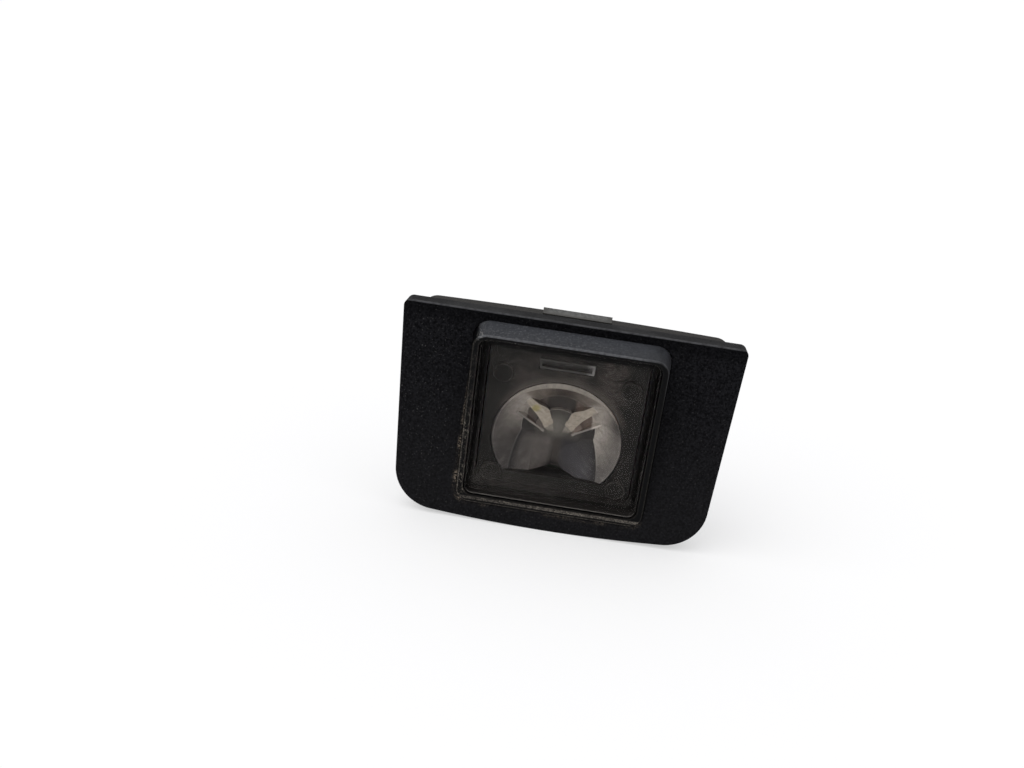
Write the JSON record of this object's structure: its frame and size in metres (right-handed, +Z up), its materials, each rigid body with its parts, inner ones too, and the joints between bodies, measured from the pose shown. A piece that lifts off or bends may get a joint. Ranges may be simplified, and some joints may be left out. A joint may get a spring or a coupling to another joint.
{
  "type": "number plate lamp",
  "caption": "Tapered black lamp that lights a car's number plate: square clear lens in a raised frame over a faceted optic, foam gasket, leaf spring and rear socket",
  "frame": {"origin": "on the plane where the gasket meets the panel, on the symmetry plane, halfway up the rear rim of the bezel", "axes": "+X across the lamp, +Y into the panel, +Z up; the lens faces -Y and leans down"},
  "size_m": [0.0658, 0.0332, 0.0435],
  "materials": {
    "grained_plastic": "fine grain, worn",
    "smooth_plastic": "smooth satin",
    "clear_plastic": "clear, slightly hazed",
    "sealant": "matt",
    "dark_plastic": "satin",
    "optic_plastic": "satin",
    "foam": "open foam, dusty",
    "spring_steel": "plain",
    "board": "satin",
    "led_body": "plain",
    "phosphor": "plain",
    "chip": "plain",
    "chip_ceramic": "plain",
    "tinned_brass": "tinned"
  },
  "bodies": {
    "root": {"bezel": "grained_plastic", "lamp_housing": "smooth_plastic", "lens": "clear_plastic", "lens_seal": "sealant", "mask": "dark_plastic", "optic": "optic_plastic", "gasket": "foam", "spring_clip": "spring_steel", "circuit_board": "board", "led_package": "led_body", "led_emitter": "phosphor", "resistor_1": "chip", "resistor_2": "chip", "resistor_3": "chip", "capacitor_1": "chip_ceramic", "capacitor_2": "chip_ceramic", "diode": "chip", "terminal_positive": "tinned_brass", "terminal_negative": "tinned_brass"}
  },
  "joints": []
}
